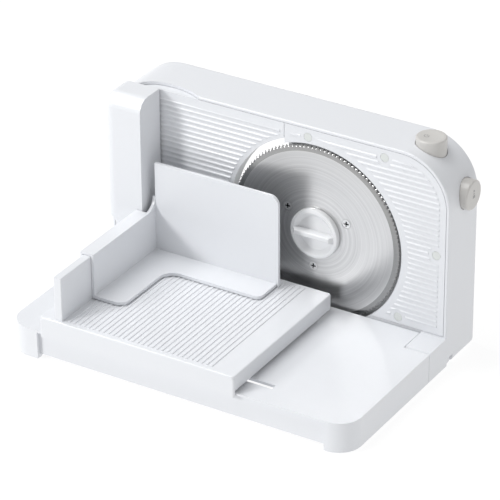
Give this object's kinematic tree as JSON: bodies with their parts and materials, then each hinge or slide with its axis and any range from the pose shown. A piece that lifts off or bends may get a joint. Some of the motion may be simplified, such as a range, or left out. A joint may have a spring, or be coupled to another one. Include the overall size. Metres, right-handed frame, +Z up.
{
  "type": "electric food slicer",
  "caption": "Folding electric food slicer: worm-driven round blade, thickness fence set by a rear knob, and a sliding carriage with a pusher on a hinged base.",
  "frame": {"origin": "centre of the overall bounding box, on the table under the feet", "axes": "+X to the right seen from the user's side, +Y to the rear, +Z up"},
  "size_m": [0.3522, 0.24, 0.2078],
  "materials": {
    "white_plastic": "glossy",
    "inner_plastic": "satin",
    "button_plastic": "satin",
    "knob_plastic": "glossy",
    "plug_plastic": "glossy",
    "screw_steel": "bright",
    "blade_screw_steel": "bright",
    "blade_steel": "concentrically brushed",
    "ground_steel": "ground",
    "spring_steel": "drawn",
    "zinc_steel": "zinc plated",
    "bronze": "sintered",
    "ferrite": "rough",
    "carbon": "matt",
    "copper": "lacquered",
    "black_plastic": "satin",
    "board": "lacquered",
    "rubber": "matt",
    "gear_plastic": "satin"
  },
  "bodies": {
    "housing": {"housing_shell": "white_plastic", "rear_cover": "white_plastic", "chassis": "inner_plastic", "front_panel": "white_plastic", "panel_screws": "screw_steel", "screw_plugs": "plug_plastic", "cover_screws": "screw_steel", "front_bush": "bronze", "rear_bush": "bronze", "motor": "zinc_steel", "motor_end_cap": "black_plastic", "motor_magnets": "ferrite", "motor_brushes": "carbon", "motor_strap": "zinc_steel", "motor_screws": "screw_steel", "worm_bearing": "bronze", "start_switch": "black_plastic", "safety_switch": "black_plastic", "start_spring": "spring_steel", "circuit_board": "board", "cord_gland": "rubber", "guide_rods": "ground_steel", "housing_feet": "rubber", "hinge_pins": "ground_steel"},
    "blade_set": {"blade": "blade_steel", "blade_screws": "blade_screw_steel", "blade_carrier": "inner_plastic", "blade_spindle": "ground_steel", "worm_wheel": "gear_plastic"},
    "blade_lock": {"lock_knob": "knob_plastic"},
    "motor_rotor": {"worm_shaft": "ground_steel", "motor_armature": "copper"},
    "fence": {"fence_plate": "white_plastic", "fence_carrier": "inner_plastic", "fence_screws": "screw_steel"},
    "thickness_dial": {"thickness_screw": "gear_plastic", "thickness_knob": "button_plastic", "screw_clip": "spring_steel"},
    "start_key": {"start_button": "button_plastic"},
    "safety_key": {"safety_button": "button_plastic"},
    "base": {"base_platform": "white_plastic", "base_feet": "rubber"},
    "runner": {"carriage_runner": "gear_plastic", "runner_retainer": "gear_plastic", "runner_screws": "screw_steel"},
    "carriage": {"carriage_tray": "white_plastic", "thumb_guard": "white_plastic", "guard_screws": "screw_steel"},
    "food_pusher": {"pusher": "white_plastic"}
  },
  "joints": [
    {"name": "blade_spin", "type": "hinge", "parent": "housing", "child": "blade_set", "pos_m": [0.03735, 0.05275, 0.0976], "axis": [0, 1, 0], "continuous": true},
    {"name": "blade_lock_turn", "type": "hinge", "parent": "blade_set", "child": "blade_lock", "pos_m": [0.03735, 0.05275, 0.0976], "axis": [0, 1, 0], "range_deg": [0, 90]},
    {"name": "motor_spin", "type": "hinge", "parent": "housing", "child": "motor_rotor", "pos_m": [0.03735, 0.08125, 0.0465], "axis": [1, 0, 0], "continuous": true},
    {"name": "thickness_turn", "type": "hinge", "parent": "housing", "child": "thickness_dial", "pos_m": [-0.12565, 0.10675, 0.1065], "axis": [0, 1, 0], "range_deg": [0, 304]},
    {"name": "fence_slide", "type": "slide", "parent": "housing", "child": "fence", "axis": [0, 1, 0], "range_m": [0, 0.015]},
    {"name": "start_press", "type": "slide", "parent": "housing", "child": "start_key", "axis": [0, 0, -1], "range_m": [0, 0.0035], "stiffness_N_per_m": 600, "springref_m": -0.003, "deforming": ["start_spring"]},
    {"name": "safety_press", "type": "slide", "parent": "housing", "child": "safety_key", "axis": [-1, 0, 0], "range_m": [0, 0.003], "stiffness_N_per_m": 500, "springref_m": -0.002},
    {"name": "base_fold", "type": "hinge", "parent": "housing", "child": "base", "pos_m": [-0.00315, 0.03475, 0.0235], "axis": [-1, 0, 0], "range_deg": [0, 90]},
    {"name": "carriage_slide", "type": "slide", "parent": "base", "child": "runner", "axis": [1, 0, 0], "range_m": [-0.03, 0.085]},
    {"name": "carriage_lift_off", "type": "slide", "parent": "runner", "child": "carriage", "axis": [0, -1, 0], "range_m": [0, 0.32]},
    {"name": "pusher_slide", "type": "slide", "parent": "carriage", "child": "food_pusher", "axis": [0, -1, 0], "range_m": [0, 0.1]}
  ],
  "couplings": [
    {"joint": "motor_spin", "follows": "blade_spin", "ratio": 72},
    {"joint": "thickness_turn", "follows": "fence_slide", "rad_per_m": 349.07},
    {"joint": "carriage_lift_off", "follows": "base_fold", "m_per_rad": 0.2}
  ]
}
